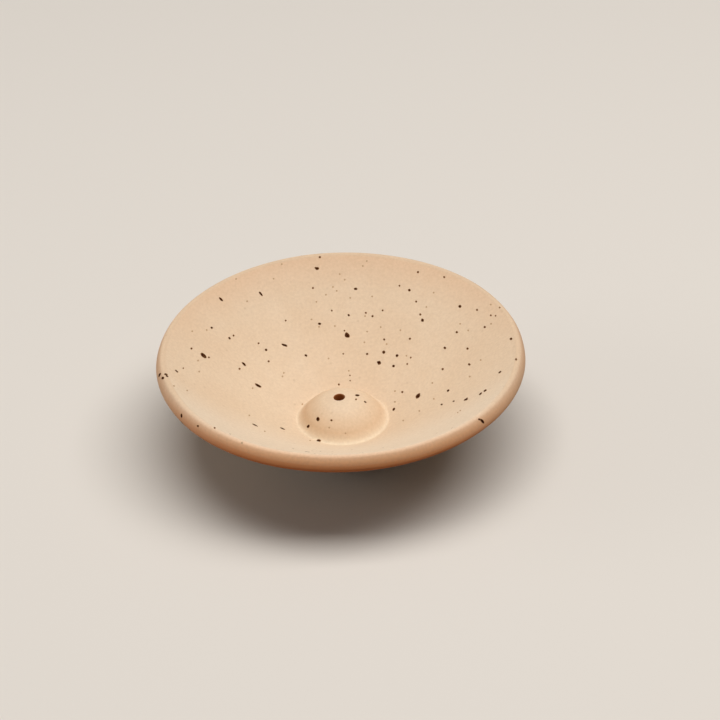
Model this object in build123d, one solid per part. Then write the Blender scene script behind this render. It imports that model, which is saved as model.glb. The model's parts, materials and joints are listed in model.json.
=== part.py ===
from build123d import *
from math import cos, radians, sin, sqrt
import os

# Incense stick holder: a shallow stoneware dish with a thick rounded lip, a domed boss luted to its floor,
# a blind stick hole pierced in the top of the boss, and a foot ring luted underneath.
# Millimetres and degrees, +Z up. The origin is on the dish's axis, on the plane that it stands on.

# Dish: the lip turns tightly over its top, gently down its leaning side and tightly round its outer edge.
# The leans are those of its side from upright, next to the top and next to the edge.
# The slopes are those of the wall's faces at the lip.
rim_diameter = 115.0
overall_height = 34.0
lip_top_radius = 1.3
lip_side_radius = 6.8
lip_edge_radius = 1.5
lip_top_lean = 36.0
lip_edge_lean = 8.0
inner_rim_slope = 39.0
outer_rim_slope = 38.0
floor_thickness = 4.2
floor_margin = 0.6
base_margin = 1.8

# Boss: a cap of a sphere, given by its foot and its height.
boss_radius = 13.6
boss_height = 8.15

# Stick hole: upright, a little to one side of the boss's top, with a softened mouth.
stick_hole_diameter = 3.5
stick_hole_floor = 1.2
stick_hole_offset = 0.9
stick_hole_mouth_radius = 0.25

# Slip: the liquid clay that beds the boss and the foot ring, wiped to a cove along their edges.
slip_thickness = 0.4
slip_edge = 0.15
boss_cove_radius = 1.15
foot_cove_share = 0.6

# Foot ring
foot_ring_radius = 18.0
foot_ring_width = 4.5
foot_ring_height = 2.4
foot_edge_radius = 0.7

# Levels, from the standing plane up
dish_base_z = foot_ring_height + slip_thickness
floor_z = dish_base_z + floor_thickness
boss_base_z = floor_z + slip_thickness
boss_top_z = boss_base_z + boss_height

# Flats that carry the boss and the foot ring
floor_radius = boss_radius + floor_margin
base_radius = foot_ring_radius + base_margin


def at(radius, height):
    """A point of a profile: its distance from the dish's axis and its height."""
    return Vector(radius, 0, height)


def leaning(slope):
    """Unit vector square to a wall of that slope, pointing up into the dish."""
    return at(-sin(radians(slope)), cos(radians(slope)))


def outward(lean):
    """Unit vector square to a side that leans so far in from upright, pointing out of the dish."""
    return at(cos(radians(lean)), sin(radians(lean)))


def arc_radius(start, normal, end):
    """Signed radius of the arc that leaves start square to normal and passes through end."""
    chord = end - start
    return chord.dot(chord) / (2 * chord.dot(normal))


def arc_about(centre, start, end):
    """The short arc about centre from start to end."""
    spoke = start - centre
    middle = (spoke + end - centre).normalized() * spoke.length
    return ThreePointArc(start, centre + middle, end)


def outer_meeting(first, first_radius, second, second_radius):
    """Where two circles of a profile meet, on the side away from the dish's axis."""
    gap = second - first
    along = (first_radius**2 - second_radius**2 + gap.dot(gap)) / (2 * gap.length)
    across = sqrt(first_radius**2 - along**2)
    way = gap.normalized()
    side = at(way.Z, -way.X)
    foot = first + way * along
    return max(foot + side * across, foot - side * across, key=lambda point: point.X)


def turned(edges):
    """The ring or disc that a closed half profile makes about the dish's axis."""
    return revolve(make_face(edges), axis=Axis.Z)


# Lip: three arcs that run into each other, and into both faces of the wall, without a break
lip_top_shift = outward(lip_top_lean) * (lip_side_radius - lip_top_radius)
lip_edge_shift = outward(lip_edge_lean) * (lip_side_radius - lip_edge_radius)
lip_edge_centre = at(
    rim_diameter / 2 - lip_edge_radius,
    overall_height - lip_top_radius - lip_top_shift.Z + lip_edge_shift.Z,
)
lip_side_centre = lip_edge_centre - lip_edge_shift
lip_top_centre = lip_side_centre + lip_top_shift
inner_rim = lip_top_centre + leaning(inner_rim_slope) * lip_top_radius
lip_shoulder = lip_top_centre + outward(lip_top_lean) * lip_top_radius
lip_heel = lip_edge_centre + outward(lip_edge_lean) * lip_edge_radius
outer_rim = lip_edge_centre - leaning(outer_rim_slope) * lip_edge_radius

# Inner and outer faces of the wall: arcs from the lip to the flats
floor_edge = at(floor_radius, floor_z)
inner_radius = arc_radius(inner_rim, leaning(inner_rim_slope), floor_edge)
inner_centre = inner_rim + leaning(inner_rim_slope) * inner_radius
base_edge = at(base_radius, dish_base_z)
outer_radius = arc_radius(outer_rim, leaning(outer_rim_slope), base_edge)
outer_centre = outer_rim + leaning(outer_rim_slope) * outer_radius

# Dome of the boss
dome_radius = (boss_radius**2 + boss_height**2) / (2 * boss_height)
dome_centre = at(0, boss_top_z - dome_radius)
dome_edge = at(boss_radius, boss_base_z)


def dish():
    """Shallow bowl: flat floor, gently curved wall, thick rounded lip and flat underside."""
    return turned([
        Line(at(0, floor_z), floor_edge),
        arc_about(inner_centre, floor_edge, inner_rim),
        arc_about(lip_top_centre, inner_rim, lip_shoulder),
        arc_about(lip_side_centre, lip_shoulder, lip_heel),
        arc_about(lip_edge_centre, lip_heel, outer_rim),
        arc_about(outer_centre, outer_rim, base_edge),
        Line(base_edge, at(0, dish_base_z)),
        Line(at(0, dish_base_z), at(0, floor_z)),
    ])


def stick_boss():
    """Domed button of clay with the blind stick hole in its top."""
    top = at(0, boss_top_z)
    dome = turned([
        arc_about(dome_centre, top, dome_edge),
        Line(dome_edge, at(0, boss_base_z)),
        Line(at(0, boss_base_z), top),
    ])
    hole_foot = Pos(-stick_hole_offset, 0, boss_base_z + stick_hole_floor)
    upright = (Align.CENTER, Align.CENTER, Align.MIN)
    hole = hole_foot * Cylinder(stick_hole_diameter / 2, boss_height, align=upright)
    pierced = dome - hole
    mouth = pierced.edges().sort_by(Axis.Z)[-1]
    return fillet(mouth, stick_hole_mouth_radius)


def boss_slip():
    """Bed of slip under the boss, and the cove wiped round it between the dome and the dish's wall."""
    reach = boss_cove_radius + slip_edge
    cove_centre = outer_meeting(
        dome_centre, dome_radius + reach, inner_centre, abs(inner_radius - reach)
    )
    to_dome = (dome_centre - cove_centre).normalized()
    to_wall = (inner_centre - cove_centre).normalized() * (-1 if inner_radius > 0 else 1)
    on_dome = cove_centre + to_dome * reach
    on_wall = cove_centre + to_wall * reach
    cove_top = cove_centre + to_dome * boss_cove_radius
    cove_foot = cove_centre + to_wall * boss_cove_radius
    return turned([
        Line(at(0, floor_z), floor_edge),
        arc_about(inner_centre, floor_edge, on_wall),
        Line(on_wall, cove_foot),
        arc_about(cove_centre, cove_foot, cove_top),
        Line(cove_top, on_dome),
        arc_about(dome_centre, on_dome, dome_edge),
        Line(dome_edge, at(0, boss_base_z)),
        Line(at(0, boss_base_z), at(0, floor_z)),
    ])


foot_inner_radius = foot_ring_radius - foot_ring_width
foot_cove_rise = (foot_ring_height - foot_edge_radius) * foot_cove_share
foot_cove_radius = foot_cove_rise + slip_thickness


def foot_ring():
    """Low ring that the dish stands on, with both of its lower edges rounded."""
    section = [
        at(foot_inner_radius, 0),
        at(foot_ring_radius, 0),
        at(foot_ring_radius, foot_ring_height),
        at(foot_inner_radius, foot_ring_height),
    ]
    ring = turned(Polyline(*section, close=True).edges())
    standing_edges = ring.edges().group_by(Axis.Z)[0]
    return fillet(standing_edges, foot_edge_radius)


def foot_slip():
    """Bed of slip on top of the foot ring, wiped to a cove along its outer and its inner side."""
    cove_z = dish_base_z - foot_cove_radius
    arc = foot_cove_radius - slip_edge

    def side(radius, outward):
        """Cove on the ring's side at that radius, from the ring up to the dish's underside."""
        centre = at(radius + outward * foot_cove_radius, cove_z)
        low = centre - at(outward * arc, 0)
        high = centre + at(0, arc)
        return [
            Line(at(radius, foot_ring_height), at(radius, cove_z)),
            Line(at(radius, cove_z), low),
            arc_about(centre, low, high),
            Line(high, at(centre.X, dish_base_z)),
        ]

    return turned([
        *side(foot_ring_radius, 1),
        *side(foot_inner_radius, -1),
        Line(at(foot_inner_radius, foot_ring_height), at(foot_ring_radius, foot_ring_height)),
        Line(
            at(foot_inner_radius - foot_cove_radius, dish_base_z),
            at(foot_ring_radius + foot_cove_radius, dish_base_z),
        ),
    ])


os.makedirs("parts", exist_ok=True)
for piece in (dish, stick_boss, boss_slip, foot_ring, foot_slip):
    export_step(piece(), f"parts/{piece.__name__}.step")
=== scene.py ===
import json
from math import cos, pi, radians, sin, sqrt, tan

import bpy
import numpy as np
from bpy.props import FloatProperty, FloatVectorProperty, IntProperty, PointerProperty
from mathutils import Matrix, Vector


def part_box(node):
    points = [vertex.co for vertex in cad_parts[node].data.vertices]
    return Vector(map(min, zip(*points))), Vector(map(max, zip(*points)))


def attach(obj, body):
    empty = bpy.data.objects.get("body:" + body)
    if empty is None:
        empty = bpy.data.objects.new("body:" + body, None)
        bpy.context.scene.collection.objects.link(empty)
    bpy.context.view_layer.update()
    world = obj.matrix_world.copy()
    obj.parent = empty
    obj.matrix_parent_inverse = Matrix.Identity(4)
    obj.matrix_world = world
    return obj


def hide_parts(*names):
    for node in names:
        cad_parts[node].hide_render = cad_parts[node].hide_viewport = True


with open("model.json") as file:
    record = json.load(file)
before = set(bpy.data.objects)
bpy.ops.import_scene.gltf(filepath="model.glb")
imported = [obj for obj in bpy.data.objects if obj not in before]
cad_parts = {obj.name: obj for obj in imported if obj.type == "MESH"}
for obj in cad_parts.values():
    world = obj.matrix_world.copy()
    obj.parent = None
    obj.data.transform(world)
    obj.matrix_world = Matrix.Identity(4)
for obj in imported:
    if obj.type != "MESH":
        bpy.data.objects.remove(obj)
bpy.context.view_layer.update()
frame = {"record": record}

bl_info = {
    "name": "Incense Stick Holder",
    "version": (1, 0, 0),
    "blender": (4, 5, 0),
    "location": "3D View > Sidebar > Incense Holder",
    "description": "Dresses the frame of a speckled stoneware incense stick holder",
    "category": "Add Mesh",
}

# Lengths are metres. A profile is an array of points, each a distance from the dish's axis and a height.
MM = 0.001
TURN = 2 * pi

# What the frame gives: the boxes of its nodes, and the places of its mounts
MOUNTS = {mount["name"]: mount for mount in frame["record"]["mounts"]}
DISH_LOW, DISH_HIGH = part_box("dish")
BOSS_LOW, BOSS_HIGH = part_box("stick_boss")
SLIP_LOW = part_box("boss_slip")[0]
FOOT_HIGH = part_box("foot_ring")[1]
FOOT_SLIP_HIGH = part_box("foot_slip")[1]
HOLE_OFFSET = MOUNTS["stick_hole"]["pos_m"][0]
HOLE_RADIUS = MOUNTS["stick_hole"]["dims"]["r_mm"] * MM
HOLE_FLOOR = MOUNTS["stick_hole"]["pos_m"][2] - MOUNTS["stick_hole"]["dims"]["length_mm"] * MM / 2
FOOT_MIDDLE = MOUNTS["standing_face"]["pos_m"][0]

# How finely the surfaces are divided
DISH_TURNS = 360
BOSS_TURNS = 192
FOOT_TURNS = 240
BORE_RINGS = 24
MOUTH_RINGS = 9
DOME_RINGS = 44
SPECK_SIDES = 12
WALL_STEP = 0.75 * MM
FLAT_STEP = 3 * WALL_STEP
LIP_STEP = 0.22 * MM
FINE_STEP = 0.12 * MM

# Faces that meet at more than this angle are shaded apart
FOLD = radians(60)

# The slow waves of hand-worked clay: how many, the lengths of the longest and the shortest, and their seed
WARP_WAVES = 14
WARP_LONGEST, WARP_SHORTEST = 90 * MM, 14 * MM
WARP_SEED = 41

# The photograph's frame, and the lens that its picture of the rim asks for
PICTURE_SIDE = 720
SENSOR_WIDTH = 36 * MM
AIM_HEIGHT = 17 * MM
AIM_ACROSS = 341.89
AIM_DOWN = 392.78
PIXELS_PER_METRE = 3178

# Iron specks as they stand in the photograph, in its pixels.
# Flecks: across, down, length, width, and turn in degrees from level, clockwise.
FLECKS = (
    (203.4, 355.6, 6.8, 3.4, 41), (176.7, 371.2, 3.6, 1.4, 38), (159.5, 375.1, 4.6, 1.9, -69),
    (165.8, 374.4, 3.8, 1.7, 5), (166.9, 376.3, 2.8, 1.6, 18), (162.6, 378.2, 3.2, 2.3, -50),
    (181.3, 415.8, 3.8, 1.7, 85), (221.1, 299.2, 5.1, 2.1, 47), (211.8, 327.6, 2.4, 1.8, 30),
    (229.4, 338.0, 2.9, 1.8, 45), (260.8, 293.8, 5.4, 2.0, 50), (317.1, 268.4, 4.3, 3.0, 20),
    (319.5, 323.7, 3.2, 2.2, 5), (284.3, 345.2, 5.8, 2.3, 24), (305.9, 355.4, 3.0, 2.1, 30),
    (243.9, 363.8, 5.3, 1.9, 46), (258.0, 385.3, 7.3, 2.2, 30), (254.8, 425.2, 5.6, 1.5, 26),
    (282.5, 428.7, 5.2, 1.3, 27), (500.1, 372.1, 3.2, 1.6, -38), (448.2, 390.6, 2.8, 1.9, -40),
    (485.3, 390.6, 3.4, 1.9, -35), (480.6, 393.8, 3.6, 1.8, -35), (466.1, 399.3, 4.2, 2.2, -32),
    (453.6, 401.3, 2.2, 1.3, -25), (441.6, 404.6, 2.2, 1.5, -20), (482.4, 421.0, 5.5, 2.4, 50),
    (479.3, 419.2, 2.4, 1.6, 40), (418.2, 396.1, 5.9, 3.2, -48), (357.1, 395.4, 4.4, 2.0, 4),
    (365.0, 402.1, 3.0, 1.4, 30), (317.9, 419.2, 4.1, 3.3, 90), (308.2, 426.5, 3.6, 2.4, -60),
    (318.7, 440.9, 4.2, 2.4, 0), (393.8, 409.4, 3.2, 2.2, -50), (356.0, 288.5, 3.6, 2.4, 0),
    (348.8, 314.9, 2.4, 2.0, 45), (422.6, 320.5, 3.3, 2.8, 100), (347.1, 335.0, 5.6, 4.4, 50),
)
# Dots: across, down and width.
DOTS = (
    (191.3, 348.6, 2.0), (208.7, 357.4, 1.8), (183.3, 368.3, 1.4), (197.8, 426.1, 2.0), (214.8, 427.8, 1.8),
    (239.5, 368.5, 2.0), (233.5, 335.4, 1.8), (313.1, 287.9, 2.0), (285.6, 320.6, 1.8), (331.9, 310.4, 1.8),
    (266.0, 349.9, 2.4), (268.6, 361.2, 2.0), (258.4, 343.3, 1.8), (459.9, 306.6, 2.9), (477.0, 310.0, 2.0),
    (499.6, 307.7, 1.6), (490.7, 315.5, 1.8), (495.4, 315.9, 1.6), (484.5, 327.2, 2.2), (456.7, 332.3, 2.2),
    (511.2, 338.8, 2.4), (444.8, 348.2, 2.5), (467.4, 348.7, 2.2), (516.2, 359.2, 2.1), (469.4, 364.3, 2.3),
    (442.7, 369.3, 2.2), (418.5, 272.1, 2.2), (444.5, 277.3, 2.0), (338.9, 384.4, 2.0), (350.2, 380.5, 1.4),
    (350.0, 375.2, 1.5), (355.8, 399.5, 1.8), (331.3, 420.4, 2.1), (402.4, 392.2, 2.1), (399.9, 285.6, 1.8),
    (409.7, 290.2, 2.6), (416.3, 301.8, 2.0), (365.9, 312.5, 2.0), (382.8, 310.2, 1.9), (372.6, 315.9, 2.1),
    (420.4, 314.7, 2.1), (344.4, 330.4, 1.6), (384.2, 339.3, 2.1), (410.0, 338.8, 2.2), (343.3, 353.5, 1.6),
    (367.2, 353.8, 2.2), (383.8, 352.1, 3.1), (379.0, 362.6, 3.8), (397.1, 355.6, 2.8), (393.5, 366.0, 2.6),
    (410.8, 357.7, 1.7), (407.3, 364.1, 1.8), (320.1, 257.2, 2.2),
)
# Faint specks, half sunk in the clay: across and down.
FAINT_SPECKS = (
    (197.9, 360.7), (199.1, 371.7), (173.8, 386.2), (187.2, 390.5), (490.7, 304.6), (490.9, 323.9),
    (460.1, 323.9), (468.1, 330.6), (480.9, 360.0), (469.9, 376.5), (460.4, 410.3), (457.9, 412.2),
    (451.9, 427.9), (329.2, 427.8), (345.4, 433.5), (309.9, 440.8), (395.0, 391.2), (395.0, 402.0),
    (403.2, 420.7), (302.4, 404.3), (337.0, 290.7), (350.5, 297.5), (372.5, 296.0), (433.9, 292.8),
    (426.5, 307.2), (365.1, 315.8), (380.8, 327.0), (334.9, 325.8), (367.2, 331.4), (400.5, 330.2),
    (364.4, 342.1), (386.8, 343.9), (406.5, 355.8), (348.8, 370.5), (192.3, 331.1), (206.8, 329.8),
    (236.2, 278.9), (247.1, 301.3), (319.1, 326.7), (326.2, 294.6), (316.7, 301.7), (311.6, 319.3),
    (340.0, 273.9), (333.2, 286.8), (282.0, 264.2), (273.7, 278.7), (328.7, 358.2), (283.8, 372.8),
    (282.5, 376.3), (252.4, 388.0), (249.2, 415.4), (264.6, 431.5), (242.4, 442.7), (345.1, 279.4),
    (367.2, 260.8), (363.2, 265.7), (432.5, 383.1), (419.4, 411.1), (434.0, 398.9),
)
FAINT_WIDTH = 1.7
FAINT_DARKNESS = 0.12

# Dots of this width and more are as dark as flecks, and no dot is fainter than this
DARK_WIDTH = 2.6
DOT_DARKNESS = 0.75

# Specks are made a little larger than they look, because their edges fade out
SPECK_GROWTH = 1.25

# Sine of the least slant that counts where an outline in the picture is laid on the clay
LAID_SLANT = 0.4

# How many places are tried along each ray of the camera
RAY_PLACES = 4001

# Sine of the slant of the camera's view below which specks are strewn instead of read from the photograph
LOW_SLANT = 0.10

# Strewn specks: their half width, what the widest bold one has more, the longest one's length in widths,
# the share of bold ones, the darkness of the others, and their seed
STREWN_WIDTH, STREWN_EXTRA = 0.18 * MM, 0.42 * MM
STREWN_STRETCH = 2.4
BOLD_SHARE = 0.6
TIMID_DARKNESS = 0.3
STREWN_SEED = 7

# A speck is a low lens: heights over the clay, and stains, of its middle, inner ring, edge and closing point.
# Its edge strays from an ellipse by so many waves round it, each of about this share.
LENS_LIFTS = (0.035 * MM, 0.022 * MM, -0.008 * MM, -0.15 * MM)
LENS_STAINS = (1.0, 0.9, 0.0, 0.0)
LENS_RING_SHARE = 0.66
STRAY_WAVES = (2, 3, 4)
STRAY_SHARE = 0.05
STRAY_SEED = 23

# Patterns in the clay and its specks, by their lumps or cells to the metre
PATCH_LUMPS, CLOUD_LUMPS, SAND_LUMPS, DENT_LUMPS = 48, 210, 1150, 330
STRAY_LUMPS, GLOSS_LUMPS, RUST_LUMPS, FRECKLE_CELLS = 30, 160, 2600, 330

# How many times patches and sand are laid over with finer lumps, and how much each finer layer of sand counts
PATCH_DETAIL, SAND_DETAIL, SAND_ROUGHNESS = 3, 3, 0.6

# Ranges of such patterns that are used, from where they start to count to where they count fully
LUMP_RANGE = (0.30, 0.70)
PATCH_RANGE = (0.35, 0.70)
CLOUD_RANGE = (0.40, 0.75)
FRECKLE_RANGE = (0.70, 0.98)
FRECKLE_MIDDLE, FRECKLE_EDGE = 0.08, 0.20

# How far clouds pass into the warm colour, and freckles and sand into that of the freckles
CLOUD_SHARE, FRECKLE_SHARE, SAND_SHARE = 0.55, 0.25, 0.20

# Relief of the clay: its depth and strength, and in it the heights of its sand, dents and wiped rings
RELIEF_DEPTH, RELIEF_STRENGTH = 0.06 * MM, 0.8
CLAY_GRAIN, SLIP_GRAIN = 0.8, 0.4
DENT_HEIGHT, WIPE_HEIGHT = 1.2, 0.10

# Wiped rings: from one to the next, and how many radians they stray
WIPE_PITCH, WIPE_STRAY = 2.3 * MM, 6.0

# Roughness of the clay, from and to, and that of the specks with their shine
CLAY_ROUGHNESS = (0.66, 0.78)
SPECK_ROUGHNESS, SPECK_SHINE = 0.75, 0.05

# How unevenly the specks are stained, from and to, and the stain at which iron is all rust
STAIN_RANGE = (0.80, 1.25)
RUST_STAIN = 0.4

# How far past the bore the darker colour in the stick hole fades out
DARK_HOLE_MOUTH = 0.14 * MM

# Shares of the boss's radius where the painted shade on its flank starts, is deepest, and is as pale as the
# cove again. At its far right the painted shade has only the last share.
FLANK_SHADE_SHARES = (0.45, 0.88, 1.05)
FLANK_SHADE_RIGHT_SHARE = 0.5

# Shares of the boss's radius where the painted highlight in the cove round it starts, is palest, and ends.
# It grows from nothing to its full share between these depths.
COVE_HIGHLIGHT_SHARES = (0.89, 1.03, 1.16)
COVE_HIGHLIGHT_START, COVE_HIGHLIGHT_FULL = 4 * MM, -16 * MM

# Painted shade and painted warm reflected light under the lip: how far below the dish's outermost corner,
# square to a wall of this slope, it starts and is full, and where its deep colour in front starts and is
# full.
# Towards the right it starts lower, by this share of the way across. Further down, it fades out between these
# heights.
LIP_SHADE_SLOPE = radians(34)
LIP_SHADE_START, LIP_SHADE_FULL = -0.3 * MM, 2.2 * MM
DEEP_START, DEEP_FULL = 0.8 * MM, 3.8 * MM
LIP_SHADE_DROP_SHARE = 0.012
LIP_SHADE_LOW, LIP_SHADE_HIGH = 19 * MM, 28.8 * MM

# On the lip's top the painted shade starts and ends at these distances from the dish's axis, at a lesser
# share, dulling the top's highlight. Along the back it reaches further in with its own share, which grows
# between these depths.
LIP_SHADE_INNER, LIP_SHADE_OUTER, LIP_SHADE_TOP_SHARE = 54.6 * MM, 56.9 * MM, 0.9
BACK_INNER, BACK_SHARE = 45 * MM, 0.6
BACK_START, BACK_FULL = -5 * MM, 42 * MM

# Between these depths the painted shade passes into the colour that it has in front, painted warm reflected
# light
LIP_SHADE_FRONT_START, LIP_SHADE_FRONT_FULL = -18 * MM, -48 * MM

# How far below the dish's highest point the painted shade on the lip's top starts, and where it is full
RIM_SHADE_START, RIM_SHADE_FULL = 0.55 * MM, 0.05 * MM

# Between these depths the clay passes from its main colour to the paler one of the front, which is painted
# light
FRONT_LIGHT_START, FRONT_LIGHT_FULL = -9 * MM, -26 * MM

# Half the floor's side, and how far from the dish it starts to pass into the backdrop and has done so
FLOOR_HALF = 3.0
FADE_START, FADE_FULL = 0.35, 1.0

# Depths where the floor's front starts to throw back its own colour, and where it does so fully
BOUNCE_START, BOUNCE_FULL = -30 * MM, -90 * MM

# How near the camera starts to see
CLIP_START = 10 * MM


def length(name, description, default):
    """A property that holds a length in metres."""
    return FloatProperty(
        name=name, description=description, default=default, min=0.0, unit="LENGTH", precision=5
    )


def angle(name, description, default):
    """A property that holds an angle, given here in degrees."""
    return FloatProperty(name=name, description=description, default=radians(default), subtype="ANGLE")


def brightness(name, description, default):
    """A property that holds a brightness, where 1 is that of white."""
    return FloatProperty(name=name, description=description, default=default, min=0.0)


def colour(name, description, default):
    """A property that holds a colour as linear red, green and blue."""
    return FloatVectorProperty(
        name=name, description=description, default=default, size=3, min=0.0, max=1.0, subtype="COLOR"
    )


class HolderSizes(bpy.types.PropertyGroup):
    """Sizes of the holder that its frame's boxes don't give."""

    lip_top_radius: length("Lip top radius", "Radius of the lip's top, next to the wall's inside", 1.3 * MM)
    lip_side_radius: length("Lip side radius", "Radius of the lip's outer side", 6.8 * MM)
    lip_edge_radius: length("Lip edge radius", "Radius of the lip's outermost edge", 1.5 * MM)
    lip_top_lean: angle("Lip top lean", "Lean of the lip's side from upright, next to its top", 36)
    lip_edge_lean: angle("Lip edge lean", "Lean of the lip's side from upright, next to its edge", 8)
    inner_rim_slope: angle("Inner rim slope", "How steep the inside of the wall is at the lip", 39)
    outer_rim_slope: angle("Outer rim slope", "How steep the outside of the wall is at the lip", 38)
    floor_margin: length("Floor margin", "How far the flat floor reaches past the boss", 0.6 * MM)
    base_margin: length("Base margin", "How far the flat underside reaches past the foot ring", 1.8 * MM)
    base_rounding: length("Base rounding", "Radius between the underside and the wall", 1.2 * MM)
    cove_rise: length("Cove rise", "How far the cove climbs the boss, from its corner", 2.3 * MM)
    cove_reach: length("Cove reach", "How far the cove reaches along the wall, from its corner", 1.1 * MM)
    mouth_rounding: length("Mouth rounding", "Radius round the mouth of the stick hole", 0.25 * MM)
    hole_rounding: length("Hole rounding", "Radius round the bottom of the stick hole", 0.5 * MM)
    foot_rounding: length("Foot rounding", "Radius along the foot ring's standing edges", 0.7 * MM)
    unevenness: length("Unevenness", "How far the turned clay strays from a true round", 0.08 * MM)
    strewn_specks: IntProperty(
        name="Strewn specks",
        description="Specks strewn all over, before those in the camera's view go",
        default=390,
        min=0,
    )


class HolderColours(bpy.types.PropertyGroup):
    """Colours of the fired clay and its specks, and of the light and shade painted on it."""

    clay: colour("Clay", "Main colour of the fired clay", (0.775, 0.592, 0.411))
    clay_warm: colour("Warm clay", "Colour of the clay's warmer patches", (0.750, 0.556, 0.374))
    # Flank: painted shade, darker and warmer clay low on the boss, most of all on its left
    flank: colour("Flank", "Colour of the clay low down on the boss", (0.695, 0.475, 0.290))
    # Pale clay: painted light, paler clay along the front of the dish
    pale: colour("Pale clay", "Colour of the clay along the front", (0.800, 0.640, 0.470))
    # Lip shade colours: painted shade under and over the lip, with painted warm reflected light in front
    lip_shade: colour("Toast", "Colour of the clay that the fire browned", (0.745, 0.450, 0.258))
    lip_shade_front: colour("Front toast", "Colour of the browned clay along the front", (0.830, 0.412, 0.182))
    lip_shade_deep: colour("Deep toast", "Colour of the browned clay low in front", (0.670, 0.215, 0.055))
    # Rim: painted shade on the lip's top, dulling its highlight
    rim: colour("Rim", "Colour of the lip's wiped top", (0.705, 0.505, 0.330))
    # Ring: painted highlight in the cove round the boss
    ring: colour("Ring", "Colour of the thick slip round the boss", (0.800, 0.660, 0.475))
    slip: colour("Slip", "Colour of the wiped slip", (0.775, 0.594, 0.413))
    freckle: colour("Freckle", "Colour of the finest grains in the clay", (0.420, 0.265, 0.150))
    # Soot: the stick hole's wall, darker reddish brown
    hole_dark: colour("Soot", "Colour of the stick hole's smoked wall", (0.390, 0.120, 0.020))
    speck: colour("Speck", "Colour of an iron speck's middle", (0.028, 0.005, 0.001))
    speck_rust: colour("Speck rust", "Colour between a speck's middle and edge", (0.290, 0.135, 0.052))
    speck_edge: colour("Speck edge", "Colour of the clay that a speck has stained", (0.570, 0.390, 0.240))


class HolderStage(bpy.types.PropertyGroup):
    """Floor, light and camera."""

    floor: colour("Floor", "Colour of the floor as the camera sees it", (0.715, 0.660, 0.595))
    bounce: colour("Bounce", "Colour that the floor throws back", (0.280, 0.230, 0.180))
    front_bounce: colour("Front bounce", "Colour that the floor's front throws back", (0.200, 0.105, 0.055))
    backdrop: colour("Backdrop", "Colour behind the floor", (0.722, 0.667, 0.602))
    light_distance: length("Light distance", "From the dish to each of the two lights", 1.5)
    key_level: brightness("Key level", "Brightness of white clay that faces the key light", 1.18)
    key_width: length("Key width", "Length of the key light from left to right", 1.9)
    key_depth: length("Key depth", "Length of the key light from front to back", 0.8)
    key_right: angle("Key to the right", "Lean of the key light to the right of straight above", 9)
    key_front: angle("Key to the front", "Lean of the key light to the front of straight above", 1.5)
    side_level: brightness("Side level", "Brightness of white clay that faces the side light", 0.19)
    side_width: length("Side width", "Side of the square side light", 0.75)
    side_left: angle("Side to the left", "Lean of the side light to the left of straight above", 75)
    fill_level: brightness("Fill level", "Brightness of the soft light from all round", 0.115)
    camera_distance: length("Camera distance", "From the camera to the dish", 0.8)
    camera_height: angle("Camera height", "How far the camera looks down", 35.49)
    camera_roll: angle("Camera roll", "Turn of the camera about its own line of sight", -1.98)


# Profiles


def point(radius, height):
    """A point of a profile: its distance from the dish's axis and its height."""
    return np.array((radius, height))


def leaning(slope):
    """Unit vector square to a wall of that slope, pointing up into the dish."""
    return point(-sin(slope), cos(slope))


def arc_centre(start, normal, end):
    """Centre of the arc that leaves start square to normal and passes through end.

    With the chord c and the normal n, it lies c.c / 2 c.n along the normal.
    """
    chord = end - start
    return start + normal * (chord @ chord) / (2 * chord @ normal)


def outer_meeting(first, first_radius, second, second_radius):
    """Where two circles of a profile meet, on the side away from the dish's axis.

    It lies along the line of centres as far as the two radii ask, then square to it.
    """
    gap = second - first
    apart = np.hypot(*gap)
    along = (first_radius**2 - second_radius**2 + apart**2) / (2 * apart)
    across = sqrt(first_radius**2 - along**2)
    way = gap / apart
    side = point(way[1], -way[0])
    foot = first + way * along
    return max(foot + side * across, foot - side * across, key=lambda place: place[0])


def towards(centre, place, distance):
    """The point at a distance from a centre, on the way to a place."""
    way = place - centre
    return centre + way * distance / np.hypot(*way)


def turned_about(centre, place, turn):
    """A place turned about a centre, anticlockwise."""
    spoke = complex(*(place - centre)) * np.exp(1j * turn)
    return centre + point(spoke.real, spoke.imag)


def square_meeting(first, first_centre, second, second_centre):
    """Where the tangents of two circles at a place on each meet: each is square to its place's spoke."""
    spokes = np.array((first - first_centre, second - second_centre))
    return np.linalg.solve(spokes, (spokes * (first, second)).sum(1))


def line(start, end, step):
    """Points of a straight run, about a step apart."""
    count = max(1, round(np.hypot(*(end - start)) / step))
    return start + np.linspace(0, 1, count + 1)[:, None] * (end - start)


def arc(centre, start, end, step):
    """Points of the shorter arc about a centre, about a step apart: the centre plus a turning spoke."""
    spoke = complex(*(start - centre))
    turn = np.angle(complex(*(end - centre)) / spoke)
    count = max(2, round(abs(spoke * turn) / step))
    spokes = spoke * np.exp(1j * turn * np.linspace(0, 1, count + 1))
    return centre + np.stack((spokes.real, spokes.imag), -1)


def bend(start, corner, end, step):
    """Points of the curve that leaves start towards a corner and comes into end from it.

    It is the sum of the three places, weighed by (1 - t)^2, 2 t (1 - t) and t^2 as t goes from 0 to 1.
    """
    count = max(2, round((np.hypot(*(corner - start)) + np.hypot(*(end - corner))) / step))
    way = np.linspace(0, 1, count + 1)[:, None]
    return (1 - way) ** 2 * start + 2 * way * (1 - way) * corner + way**2 * end


def joined(*runs):
    """One profile out of runs that each start where the last one ends."""
    return np.concatenate([runs[0]] + [run[1:] for run in runs[1:]])


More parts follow.
